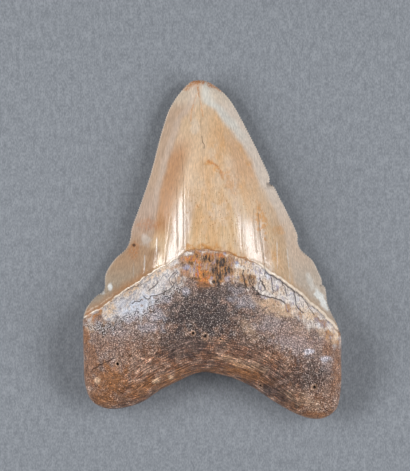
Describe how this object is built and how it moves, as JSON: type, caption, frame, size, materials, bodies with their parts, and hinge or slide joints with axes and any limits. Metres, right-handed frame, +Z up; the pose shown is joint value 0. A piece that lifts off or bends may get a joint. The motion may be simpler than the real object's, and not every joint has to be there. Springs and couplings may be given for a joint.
{
  "type": "fossil megalodon tooth",
  "caption": "Large triangular fossil shark tooth with a glossy serrated crown and a dark two-lobed root, lying with its tongue side up.",
  "frame": {"origin": "on the surface the tooth rests on, under the centre of its bounding box", "axes": "+Y from the root to the tip of the crown, +Z up through the lingual (tongue) side, +X to the right as seen from above"},
  "size_m": [0.0861, 0.113, 0.0207],
  "materials": {
    "tooth": "polished tan enamel crown over a dull dark-brown porous root"
  },
  "bodies": {
    "root": {"tooth": "tooth"}
  },
  "joints": []
}
